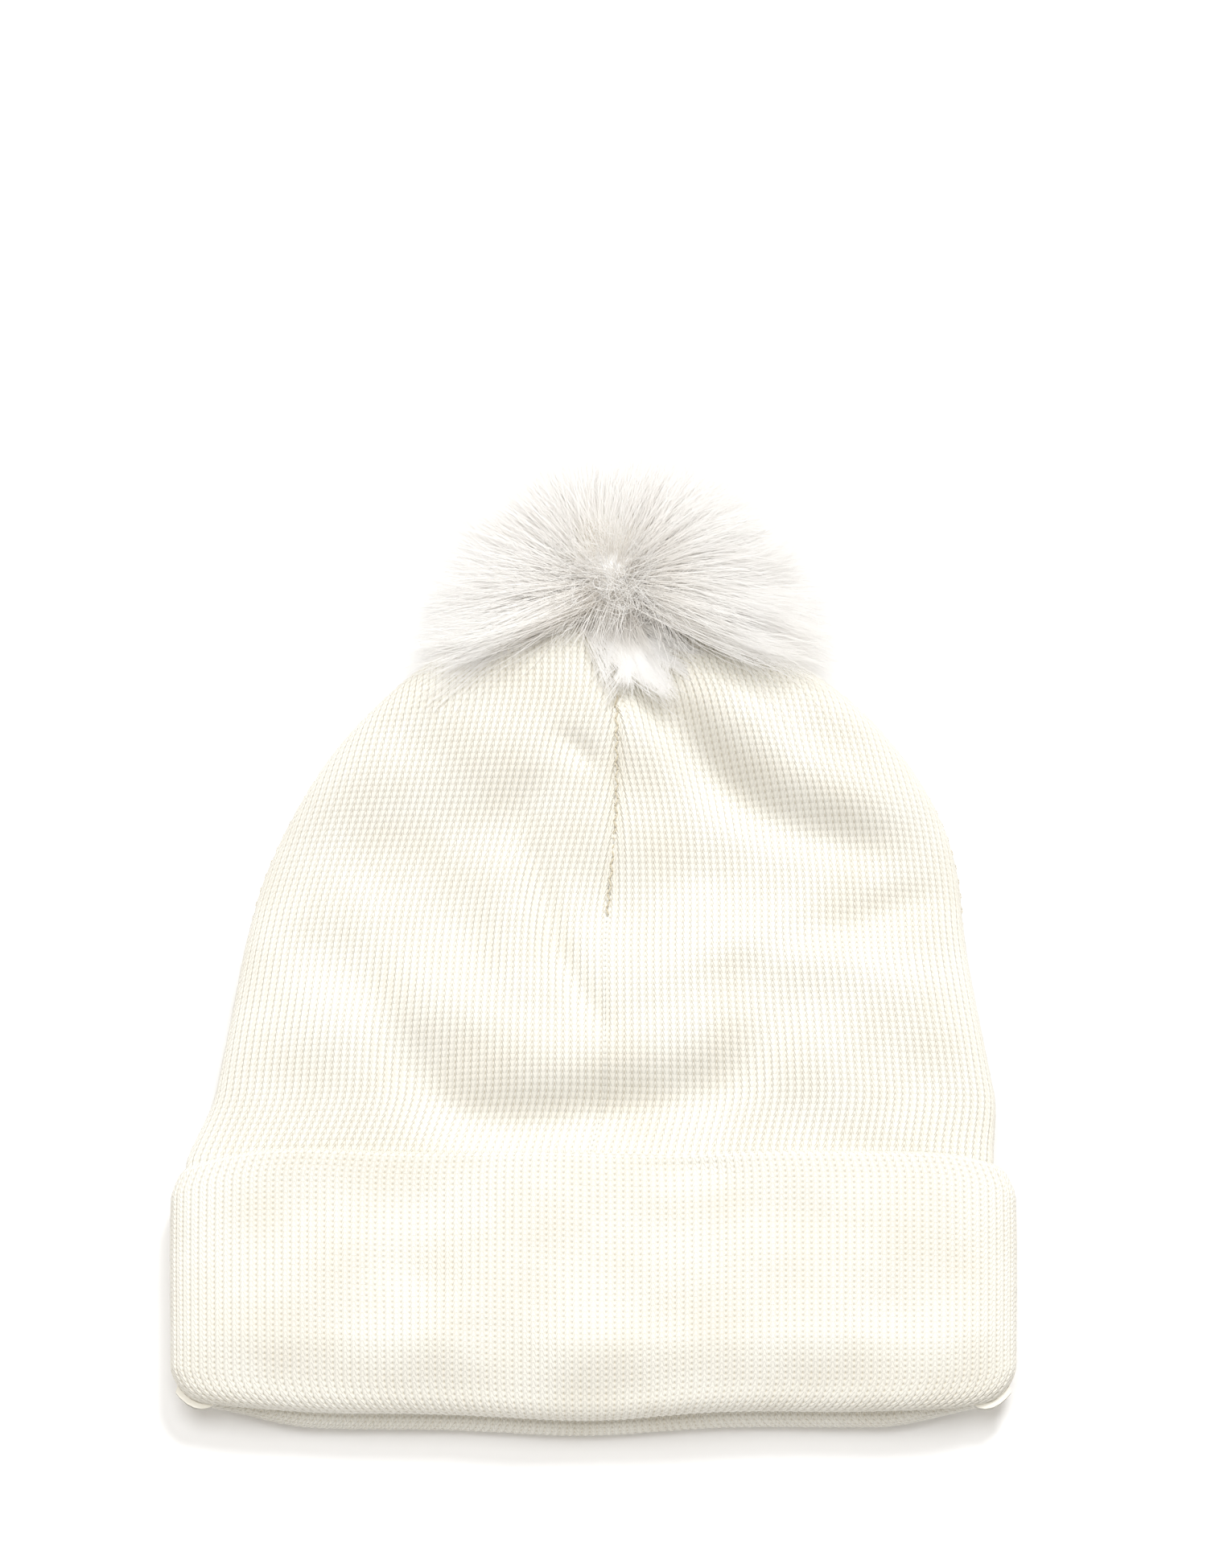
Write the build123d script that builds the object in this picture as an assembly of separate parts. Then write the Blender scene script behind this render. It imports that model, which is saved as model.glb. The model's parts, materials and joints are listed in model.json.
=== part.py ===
from build123d import *
import os
from math import radians, sin, sqrt

# Knitted beanie with a snap-on fur pom, lying on its back on a flat surface.
# X is the hat's width, +Y runs from the hem to the pom, +Z is up from the surface it lies on.
# The origin is at the middle of the bottom of the whole object. All sizes are in millimetres.

# Driving sizes: hat
hat_length = 210.0          # hem to crown tip, cuff turned up
cuff_height = 70.0
cuff_half_width = 111.0
cuff_half_depth = 13.0      # half the thickness of the flat cuff
ply = 1.8                   # one layer of knit
ply_gap = 0.6               # air between two layers
cuff_edge_radius = 4.0
crown_start = 134.0         # height above the hem where the crown begins to close
crown_half_width = 92.4     # half width of the hat at that height
crown_taper = 0.09
side_slope = 0.5            # how steeply the sides still narrow where the crown begins, 0 to 1
body_half_depth = 14.0      # half the thickness of the hat above the cuff
tip_radius = 14.0           # rounding of the crown's closed edge, seen from the side
tip_height = 28.0           # crown tip above the surface, where the pom holds it up
lie_gap = 0.6               # back of the hat above the surface, between the cuff and the pom

# Driving sizes: seams and label
dart_length = 78.0
seam_width = 1.4
seam_thickness = 0.4
label_width = 26.0
label_length = 36.0
label_thickness = 0.8
label_side = 48.0           # label's middle, left of the hat's middle
label_from_hem = 14.0
stitch_width = 1.2
stitch_thickness = 0.4

# Driving sizes: press stud
post_radius = 1.6
tilt_limit = 20.0           # degrees that the limp crown tip lets the pom lean each way
washer_radius = 9.0
washer_thickness = 0.7
flange_radius = 6.5
flange_thickness = 1.0
neck_radius = 2.0
neck_length = 1.9
head_radius = 2.6
head_length = 1.7
back_cap_radius = 6.5
back_cap_thickness = 1.4
inner_washer_radius = 6.0
socket_radius = 6.6
socket_wall_top = 1.0
rivet_radius = 1.2
spring_thickness = 0.5
spring_slot_radius = 4.0
running_gap = 0.3           # clearance between pieces that move past each other
fit_gap = 0.1               # clearance between small pieces that don't move

# Driving sizes: pom
pom_reach = 45.0            # fur beyond the crown tip
pile_radius = 47.0
pile_rim_drop = 6.0         # how far the fur's rim lies back past the crown tip
pile_rim_radius = 7.0
backing_radius = 18.0
backing_depth = 20.0
backing_corner = 8.0
backing_cloth = 1.0
base_disc_radius = 9.0
base_disc_thickness = 1.2
socket_cap_radius = 5.0
socket_cap_thickness = 1.0
thread_radius = 0.6
knot_radius = 1.1

# Places that follow from the sizes
layer_pitch = ply + ply_gap
hem_y = -(hat_length + pom_reach) / 2
tip_y = hem_y + hat_length
pivot_rise = hat_length - tip_radius
pivot_y = hem_y + pivot_rise
shell_inset = 2 * layer_pitch
lining_inset = 3 * layer_pitch
shell_half_width = cuff_half_width - shell_inset
shell_half_depth = cuff_half_depth - shell_inset
lining_depth = layer_pitch + ply
cuff_middle = cuff_half_depth

# Distances from the tilt pivot along the stud's axis
outer_washer_at = tip_radius + running_gap
flange_at = outer_washer_at + washer_thickness
neck_at = flange_at + flange_thickness
head_at = neck_at + neck_length
head_end = head_at + head_length
inner_washer_end = tip_radius - lining_depth - 2 * running_gap - 1.6
inner_washer_at = inner_washer_end - washer_thickness
back_cap_at = inner_washer_at - back_cap_thickness
socket_at = neck_at + running_gap
socket_floor = head_end + running_gap
socket_end = socket_floor + socket_wall_top
spring_at = head_at - fit_gap - spring_thickness
backing_at = socket_end
base_disc_at = backing_at + backing_cloth
socket_cap_at = base_disc_at + base_disc_thickness
pile_end = tip_radius + pom_reach

axis_plane = Plane(origin=(0, pivot_y, tip_height), x_dir=(1, 0, 0), z_dir=(0, 1, 0))


def smooth(t):
    t = min(max(t, 0.0), 1.0)
    return t * t * (3 - 2 * t)


def half_width(rise, inset):
    # straight inside the cuff, narrowing above it, then an ellipse that closes at the tip
    if rise <= crown_start:
        t = max(0.0, (rise - cuff_height) / (crown_start - cuff_height))
        t = smooth(t) + side_slope * t * t * (t - 1)
        return shell_half_width + (crown_half_width - shell_half_width) * t - inset
    u = (rise - crown_start) / (hat_length - inset - crown_start)
    return (crown_half_width - inset) * (1 - crown_taper * u) * sqrt(1 - u * u)


def half_depth(rise, inset):
    if rise > pivot_rise:
        return sqrt((tip_radius - inset) ** 2 - (rise - pivot_rise) ** 2)
    swell = smooth((rise - cuff_height) / (crown_start - cuff_height))
    close = smooth((rise - crown_start) / (pivot_rise - crown_start))
    depth = shell_half_depth + (body_half_depth - shell_half_depth) * swell
    return depth + (tip_radius - body_half_depth) * close - inset


def middle_height(rise):
    # height of the hat's middle above the surface: low at the cuff, lifted by the pom at the tip
    settle = smooth((rise - cuff_height) / (crown_start - cuff_height))
    lift = smooth((rise - crown_start) / (pivot_rise - crown_start))
    laid_flat = body_half_depth + lie_gap
    middle = cuff_middle + (laid_flat - cuff_middle) * settle
    return middle + (tip_height - laid_flat) * lift


def knit_rises(start, inset):
    # heights above the hem of the cross-sections, closer together round the crown tip
    in_cuff = [start + (cuff_height - start) * i / 3 for i in range(3)]
    in_side = [cuff_height + (crown_start - cuff_height) * i / 4 for i in range(4)]
    in_crown = [crown_start + (pivot_rise - crown_start) * i / 5 for i in range(5)]
    round_tip = [pivot_rise + (tip_radius - inset) * sin(radians(a)) for a in (0, 24, 44, 60, 74)]
    return in_cuff + in_side + in_crown + round_tip


def knit_bag(start, inset):
    # the solid inside one face of the knit, from a height above the hem to the crown tip
    sections = []
    for rise in knit_rises(start, inset):
        place = Plane(origin=(0, hem_y + rise, middle_height(rise)), x_dir=(1, 0, 0), z_dir=(0, 1, 0))
        sections.append(place * SlotOverall(2 * half_width(rise, inset), 2 * half_depth(rise, inset)))
    return loft(sections)


def disc(radius, start, end):
    # a round solid on the stud's axis, between two distances from the tilt pivot
    return axis_plane * Pos(0, 0, start) * Cylinder(
        radius, end - start, align=(Align.CENTER, Align.CENTER, Align.MIN)
    )


def post_slot():
    # room for the post to lean in the crown tip
    travel = tip_radius * sin(radians(tilt_limit))
    width = 2 * (post_radius + running_gap)
    height = 2 * (post_radius + running_gap + travel)
    return axis_plane * Pos(0, 0, tip_radius) * Box(width, height, 2 * tip_radius)


def knit_layer(start, inset):
    return knit_bag(start, inset) - knit_bag(start, inset + ply) - post_slot()


def knit_shell():
    return knit_layer(layer_pitch + ply, 0)


def knit_lining():
    return knit_layer(ply, layer_pitch)


def cuff_slab(inset, start, end):
    face = Plane(origin=(0, hem_y + start, cuff_middle), x_dir=(1, 0, 0), z_dir=(0, 1, 0)) * SlotOverall(
        2 * (cuff_half_width - inset), 2 * (cuff_half_depth - inset)
    )
    return extrude(face, end - start)


def rounded_ends(slab, radius):
    # round the edges of a slab's two flat ends
    ends = slab.faces().filter_by(Axis.Y)
    return fillet([edge for face in ends for edge in face.edges()], radius)


def cuff_outer_ply():
    # turns under the hem to meet the lining, and over the top to meet the inner ply
    ring = rounded_ends(cuff_slab(0, 0, cuff_height), cuff_edge_radius)
    ring -= cuff_slab(ply, ply, cuff_height - ply)
    ring -= cuff_slab(shell_inset - ply_gap, cuff_height - 2 * ply, cuff_height)
    return ring - cuff_slab(lining_inset + ply, 0, 2 * ply)


def cuff_inner_ply():
    # turns under the hem to meet the shell
    ring = cuff_slab(layer_pitch, layer_pitch, cuff_height - ply)
    ring -= cuff_slab(layer_pitch + ply, layer_pitch + ply, cuff_height)
    return ring - cuff_slab(shell_inset + ply, 0, cuff_height)


def seam_strip(inset, side):
    # the sewn dart: a flat band of thread on one side of the crown, stopping short of the stud
    first = hat_length - dart_length
    band = knit_bag(cuff_height / 2, inset) - knit_bag(cuff_height / 2, inset + seam_thickness)
    band -= disc(washer_radius, 0, 2 * tip_radius)
    reach = 2 * cuff_half_width
    if side in ("front", "back"):
        cut = Pos(0, hem_y + first + reach / 2, 0) * Box(seam_width, reach, 2 * reach)
        half = Plane.XY
    else:
        sections = []
        for rise in knit_rises(first - 2, 0)[3:-1]:
            if rise >= crown_start:
                at = Plane(origin=(0, hem_y + rise, middle_height(rise)), x_dir=(1, 0, 0), z_dir=(0, 1, 0))
                sections.append(at * Rectangle(2 * reach, seam_width))
        cut = loft(sections, ruled=True)
    strips = (band & cut).solids()
    order = {"front": lambda s: -s.center().Z, "back": lambda s: s.center().Z,
             "left": lambda s: s.center().X, "right": lambda s: -s.center().X}
    return sorted(strips, key=order[side])[0]


def care_label():
    floor = cuff_middle - (cuff_half_depth - lining_inset - ply)
    box = Box(label_width, label_length, label_thickness, align=(Align.CENTER, Align.MIN, Align.MIN))
    return Pos(-label_side, hem_y + label_from_hem, floor + fit_gap) * fillet(box.edges().filter_by(Axis.Z), 1.5)


def label_stitching():
    floor = cuff_middle - (cuff_half_depth - lining_inset - ply)
    top = floor + fit_gap + label_thickness
    seam = Box(label_width - 4, stitch_width, stitch_thickness, align=(Align.CENTER, Align.MIN, Align.MIN))
    return Pos(-label_side, hem_y + label_from_hem + 2, top) * seam


def outer_felt_washer():
    return disc(washer_radius, outer_washer_at, flange_at) - disc(post_radius, 0, flange_at)


def snap_stud():
    stud = disc(post_radius, back_cap_at + back_cap_thickness / 2, flange_at)
    stud += disc(flange_radius, flange_at, neck_at)
    stud += disc(neck_radius, neck_at, head_at)
    head = disc(head_radius, head_at, head_end)
    return stud + fillet(head.edges().sort_by(Axis.Y)[-1], head_length / 3)


def inner_felt_washer():
    return disc(inner_washer_radius, inner_washer_at, inner_washer_end) - disc(post_radius, 0, flange_at)


def stud_back_cap():
    cap = disc(back_cap_radius, back_cap_at, inner_washer_at)
    cap = fillet(cap.edges().sort_by(Axis.Y)[0], back_cap_thickness / 3)
    return cap - disc(post_radius, back_cap_at + back_cap_thickness / 2, inner_washer_at)


def snap_spring():
    # an open ring that springs over the stud's head
    ring = disc(spring_slot_radius - running_gap, spring_at, spring_at + spring_thickness)
    ring -= disc(neck_radius + fit_gap, spring_at, spring_at + spring_thickness)
    mouth = axis_plane * Pos(spring_slot_radius, 0, spring_at) * Box(2 * spring_slot_radius, 1.2, 4)
    return ring - mouth


def snap_socket():
    body = disc(socket_radius, socket_at, socket_end)
    body = fillet(body.edges().filter_by(GeomType.CIRCLE), 0.4)
    body -= disc(head_radius + running_gap, socket_at, socket_floor)
    body -= disc(spring_slot_radius, spring_at - running_gap, spring_at + spring_thickness + running_gap)
    return body + disc(rivet_radius, socket_end, socket_cap_at + socket_cap_thickness / 2)


def socket_cap():
    cap = disc(socket_cap_radius, socket_cap_at, socket_cap_at + socket_cap_thickness)
    cap = fillet(cap.edges().sort_by(Axis.Y)[-1], socket_cap_thickness / 3)
    return cap - disc(rivet_radius, socket_cap_at, socket_cap_at + socket_cap_thickness / 2)


def pom_base_disc():
    return disc(base_disc_radius, base_disc_at, socket_cap_at) - disc(rivet_radius, base_disc_at, socket_cap_at)


def backing_form(inset):
    # the gathered bag: a drum on the stud's axis with rounded edges
    drum = disc(backing_radius - inset, backing_at + inset, backing_at + backing_depth - inset)
    return fillet(drum.edges().filter_by(GeomType.CIRCLE), backing_corner - inset)


def fur_backing():
    return backing_form(0) - backing_form(backing_cloth) - disc(rivet_radius, backing_at, base_disc_at)


def pom_filling():
    core = backing_form(backing_cloth + fit_gap)
    core -= disc(base_disc_radius + fit_gap, backing_at, socket_cap_at + fit_gap)
    return core - disc(socket_cap_radius + fit_gap, socket_cap_at, socket_cap_at + socket_cap_thickness + fit_gap)


def gathering_thread():
    # drawn tight round the bag's neck, with its knot
    ring_radius = socket_radius + 1.0 + thread_radius
    at = backing_at - thread_radius - fit_gap
    ring = axis_plane * Pos(0, 0, at) * Torus(ring_radius, thread_radius)
    knot = Rot(0, 0, 40) * Pos(ring_radius, 0, at - thread_radius) * Sphere(knot_radius)
    return ring + axis_plane * knot


def fur_pile():
    # a dome of fur that opens round the stud and lies flat on the surface below it
    rim_at = tip_radius - pile_rim_drop
    widest = rim_at + pile_rim_radius
    neck = socket_radius + 1.0 + 4 * thread_radius
    dome = EllipticalCenterArc((0, widest), pile_radius, pile_end - widest, 0, arc_size=90)
    rim = JernArc((pile_radius, widest), (0, -1), pile_rim_radius, -120)
    under = Polyline(rim @ 1, (neck, backing_at - 2 * thread_radius), (neck, backing_at + backing_corner),
                     (0, backing_at + backing_corner), dome @ 1)
    profile = Plane.XZ * make_face([dome, rim, under])
    pile = axis_plane * revolve(profile, Axis.Z)
    pile -= backing_form(0)
    surface = Pos(0, 0, -pile_end) * Box(4 * pile_radius, 4 * hat_length, 2 * pile_end)
    return pile - surface


parts = {
    "knit_shell": knit_shell(),
    "knit_lining": knit_lining(),
    "cuff_outer_ply": cuff_outer_ply(),
    "cuff_inner_ply": cuff_inner_ply(),
    "care_label": care_label(),
    "label_stitching": label_stitching(),
    "outer_felt_washer": outer_felt_washer(),
    "snap_stud": snap_stud(),
    "inner_felt_washer": inner_felt_washer(),
    "stud_back_cap": stud_back_cap(),
    "snap_spring": snap_spring(),
    "snap_socket": snap_socket(),
    "socket_cap": socket_cap(),
    "pom_base_disc": pom_base_disc(),
    "fur_backing": fur_backing(),
    "pom_filling": pom_filling(),
    "gathering_thread": gathering_thread(),
    "fur_pile": fur_pile(),
}
for side in ("front", "back", "left", "right"):
    parts[f"shell_dart_seam_{side}"] = seam_strip(ply + fit_gap, side)
    parts[f"lining_dart_seam_{side}"] = seam_strip(lining_depth + fit_gap, side)

os.makedirs("parts", exist_ok=True)
for node, shape in parts.items():
    export_step(shape, f"parts/{node}.step")
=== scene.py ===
import bpy
import json
import math
import numpy as np
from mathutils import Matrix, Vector


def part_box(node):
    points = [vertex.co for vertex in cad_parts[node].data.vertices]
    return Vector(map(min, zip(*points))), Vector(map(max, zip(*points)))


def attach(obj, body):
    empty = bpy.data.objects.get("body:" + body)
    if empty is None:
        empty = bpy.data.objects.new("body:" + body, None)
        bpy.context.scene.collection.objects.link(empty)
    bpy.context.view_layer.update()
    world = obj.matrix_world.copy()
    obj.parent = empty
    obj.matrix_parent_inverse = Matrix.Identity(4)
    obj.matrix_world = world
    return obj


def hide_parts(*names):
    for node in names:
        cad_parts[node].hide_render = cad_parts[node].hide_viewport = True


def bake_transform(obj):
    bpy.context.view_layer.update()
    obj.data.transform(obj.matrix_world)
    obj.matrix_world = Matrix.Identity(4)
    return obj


# Ivory knitted beanie with a white fur pom, lying on its back. Metres in the file, millimetres in the code.
mm = 0.001
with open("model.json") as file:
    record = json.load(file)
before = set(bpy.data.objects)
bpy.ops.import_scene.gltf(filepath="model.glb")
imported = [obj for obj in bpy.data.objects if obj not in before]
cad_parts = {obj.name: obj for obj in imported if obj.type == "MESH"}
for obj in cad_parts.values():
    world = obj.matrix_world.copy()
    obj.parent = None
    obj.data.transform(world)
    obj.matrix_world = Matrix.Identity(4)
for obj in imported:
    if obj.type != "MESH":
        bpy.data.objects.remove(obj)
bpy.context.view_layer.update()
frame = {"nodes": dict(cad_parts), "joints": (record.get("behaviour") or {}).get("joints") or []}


def boxOf(node):
    low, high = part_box(node)
    return np.array(low) / mm, np.array(high) / mm


cuffLow, cuffHigh = boxOf("cuff_outer_ply")
shellHigh = boxOf("knit_shell")[1]
joints = {joint["name"]: joint for joint in frame["joints"]}
pivot = np.array(joints["pom_tilt"]["pos_m"]) / mm      # where the limp crown tip bends
hemY = cuffLow[1]
cuffRise = cuffHigh[1] - cuffLow[1]
pivotRise = pivot[1] - hemY
tipRadius = shellHigh[2] - pivot[2]
hatRise = pivotRise + tipRadius

shape = {                    # the hat as it lies, sizes in mm, heights measured up from the hem
    "cuffHalfWidth": cuffHigh[0],
    "cuffHalfDepth": cuffHigh[2] / 2,
    "bodyHalfWidth": 104.5,
    "crownStart": 134.0,
    "crownHalfWidth": 92.4,
    "bodyHalfDepth": 13.6,
    "plyStack": 4.6,          # two turned-up plies over the body
    "squareness": 2.7,        # 2 is an oval section, more is boxier
    "seamTop": 132.0,         # where the darts begin
    "liningInset": 3.6,       # the lining lies this far inside the shell
}


# ---- small helpers
def smooth(t):
    t = np.clip(t, 0.0, 1.0)
    return t * t * (3 - 2 * t)


def linearColour(code):
    parts = [int(code[i:i + 2], 16) / 255 for i in (1, 3, 5)]
    return [c / 12.92 if c <= 0.04045 else ((c + 0.055) / 1.055) ** 2.4 for c in parts] + [1.0]


def addNode(tree, kind, settings=None, links=None):
    # one node with its settings (attributes or input values) and what feeds its inputs
    node = tree.nodes.new(kind)
    for key, value in (settings or {}).items():
        if isinstance(key, str) and hasattr(node, key):
            setattr(node, key, value)
        else:
            node.inputs[key].default_value = value
    for key, source in (links or {}).items():
        tree.links.new(source, node.inputs[key])
    return node


def newMaterial(name):
    material = bpy.data.materials.new(name)
    material.use_nodes = True
    tree = material.node_tree
    tree.nodes.clear()
    return material, tree


def finishMaterial(tree, shader):
    addNode(tree, "ShaderNodeOutputMaterial", None, {"Surface": shader.outputs[0]})


def makeMesh(name, points, faces, material, uv=None, flat=()):
    # points in mm; faces is a list of index arrays, quads or triangles; flat names the groups that aren't smooth
    mesh = bpy.data.meshes.new(name)
    points = np.asarray(points, dtype=np.float64).reshape(-1, 3) * mm
    loops = np.concatenate([np.asarray(f, dtype=np.int32).ravel() for f in faces])
    sizes = np.concatenate([np.full(len(f), np.asarray(f).shape[1], dtype=np.int32) for f in faces])
    soft = np.concatenate([np.full(len(f), k not in flat) for k, f in enumerate(faces)])
    starts = np.concatenate([[0], np.cumsum(sizes)[:-1]]).astype(np.int32)
    mesh.vertices.add(len(points))
    mesh.vertices.foreach_set("co", points.astype(np.float32).ravel())
    mesh.loops.add(len(loops))
    mesh.loops.foreach_set("vertex_index", loops)
    mesh.polygons.add(len(sizes))
    mesh.polygons.foreach_set("loop_start", starts)
    mesh.polygons.foreach_set("use_smooth", soft)
    if uv is not None:
        layer = mesh.uv_layers.new(name="stitches")
        layer.data.foreach_set("uv", np.asarray(uv, dtype=np.float32)[loops].ravel())
    mesh.update(calc_edges=True)
    mesh.validate()
    mesh.materials.append(material)
    piece = bpy.data.objects.new(name, mesh)
    bpy.context.scene.collection.objects.link(piece)
    return piece


def gridFaces(rows, columns, start=0, flip=False):
    r, c = np.meshgrid(np.arange(rows - 1), np.arange(columns - 1), indexing="ij")
    a = (start + r * columns + c).ravel()
    quads = np.stack([a, a + 1, a + columns + 1, a + columns], 1)
    return quads[:, ::-1] if flip else quads


def gridNormals(points, before=None, after=None):
    # before and after are the next columns of the neighbouring pieces, so that both pieces agree where they meet
    if before is not None:
        points = np.concatenate([before[:, None], points, after[:, None]], axis=1)
    across = np.gradient(points, axis=1)
    along = np.gradient(points, axis=0)
    normal = np.cross(across, along)
    normal /= np.maximum(np.linalg.norm(normal, axis=2, keepdims=True), 1e-9)
    return normal[:, 1:-1] if before is not None else normal


def ballFaces(rows, columns):
    # faces of a closed ball: rings of points from top to bottom, then the top point and the bottom point
    ring = np.arange(rows * columns).reshape(rows, columns)
    nxt = np.roll(ring, -1, axis=1)
    quads = np.stack([ring[:-1], ring[1:], nxt[1:], nxt[:-1]], -1).reshape(-1, 4)
    top = np.stack([np.full(columns, rows * columns), ring[0], nxt[0]], -1)
    bottom = np.stack([np.full(columns, rows * columns + 1), nxt[-1], ring[-1]], -1)
    return [quads, top, bottom]


def joinEdges(fine, coarse, flip):
    # triangles between a finely divided edge and a coarser one with the same ends
    ratio = (len(fine) - 1) // (len(coarse) - 1)
    middle = ratio // 2
    out = []
    for k in range(len(coarse) - 1):
        for j in range(ratio):
            to = coarse[k] if j < middle else coarse[k + 1]
            out.append((fine[k * ratio + j], fine[k * ratio + j + 1], to))
        out.append((fine[k * ratio + middle], coarse[k + 1], coarse[k]))
    out = np.array(out)
    return out[:, ::-1] if flip else out


def closedCloth(name, base, relief, uv, thickness, ratios, material, flip=False, before=None, after=None):
    # a layer of knit with real thickness: stitches on one side, a plain backing, closed edges
    rows, columns = base.shape[:2]
    normals = gridNormals(base, before, after) * (-1 if flip else 1)
    front = base + normals * relief[..., None]
    back = (base - normals * thickness)[::ratios[0], ::ratios[1]]
    r2, c2 = back.shape[:2]
    count = rows * columns
    f = np.arange(count).reshape(rows, columns)
    b = count + np.arange(r2 * c2).reshape(r2, c2)
    faces = [gridFaces(rows, columns, 0, flip), gridFaces(r2, c2, count, not flip)]
    faces.append(joinEdges(f[0], b[0], not flip))
    faces.append(joinEdges(f[-1], b[-1], flip))
    faces.append(joinEdges(f[:, 0], b[:, 0], flip))
    faces.append(joinEdges(f[:, -1], b[:, -1], not flip))
    points = np.concatenate([front.reshape(-1, 3), back.reshape(-1, 3)])
    allUv = np.concatenate([uv.reshape(-1, 2), uv[::ratios[0], ::ratios[1]].reshape(-1, 2)])
    return makeMesh(name, points, faces, material, allUv, flat=(2, 3, 4, 5))


def waves(seed, count, shortest, longest):
    # a fixed set of slow waves, for cloth that never lies quite flat
    rng = np.random.default_rng(seed)
    length = rng.uniform(shortest, longest, count)
    turn = rng.uniform(0, 2 * np.pi, count)
    phase = rng.uniform(0, 2 * np.pi, count)
    return [(np.cos(t) * 2 * np.pi / l, np.sin(t) * 2 * np.pi / l, p) for l, t, p in zip(length, turn, phase)]


def waveHeight(x, y, setOfWaves):
    return sum(np.sin(kx * x + ky * y + p) for kx, ky, p in setOfWaves) / len(setOfWaves) ** 0.5


# ---- stage, light and camera
def makeStage():
    floorMaterial, tree = newMaterial("paper_sweep_white")
    shader = addNode(tree, "ShaderNodeBsdfPrincipled", {"Base Color": linearColour("#fbfbfc"), "Roughness": 0.9})
    finishMaterial(tree, shader)
    bpy.ops.mesh.primitive_plane_add(size=12.0)
    floor = bpy.context.object
    floor.name = "floor"
    floor.data.materials.append(floorMaterial)


def addLight(name, place, target, size, power, colour):
    lamp = bpy.data.lights.new(name, "AREA")
    lamp.shape = "DISK"
    lamp.size = size
    lamp.energy = power
    lamp.color = linearColour(colour)[:3]
    holder = bpy.data.objects.new(name, lamp)
    holder.location = place
    holder.rotation_euler = (Vector(target) - Vector(place)).to_track_quat("-Z", "Y").to_euler()
    bpy.context.scene.collection.objects.link(holder)


def makeLights():
    studio = {"overhead": 50.0, "key": 68.0, "room": 0.55}
    scene = bpy.context.scene
    world = bpy.data.worlds.new("studio_room")
    scene.world = world
    world.use_nodes = True
    world.node_tree.nodes["Background"].inputs["Color"].default_value = linearColour("#fffaf2")
    world.node_tree.nodes["Background"].inputs["Strength"].default_value = studio["room"]
    addLight("overhead_softbox", (-0.4, 0.5, 3.4), (0, 0, 0), 1.8, studio["overhead"], "#fdfeff")
    addLight("key_softbox", (0.75, 1.9, 3.1), (0, 0.02, 0), 0.9, studio["key"], "#fdfeff")
    scene.view_settings.view_transform = "Standard"
    scene.view_settings.look = "None"
    scene.cycles.max_bounces = 16         # white fur is bright because light bounces on through it
    scene.cycles.diffuse_bounces = 12


def makeCamera():
    view = {"distance": 3.4, "elevation": 78.0, "frameWidth": 0.3158, "aimY": 0.0448}
    camera = bpy.data.cameras.new("camera")
    camera.sensor_fit = "HORIZONTAL"
    camera.sensor_width = 36.0
    camera.lens = camera.sensor_width * view["distance"] / view["frameWidth"]
    camera.clip_end = 20.0
    holder = bpy.data.objects.new("camera", camera)
    tilt = math.radians(view["elevation"])
    away = Vector((0, -math.cos(tilt), math.sin(tilt))) * view["distance"]
    holder.location = Vector((0, view["aimY"], 0)) + away
    holder.rotation_euler = (-away).to_track_quat("-Z", "Y").to_euler()
    bpy.context.scene.collection.objects.link(holder)
    bpy.context.scene.camera = holder


makeStage()
makeLights()
makeCamera()
print("stage, lights and camera")


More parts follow.
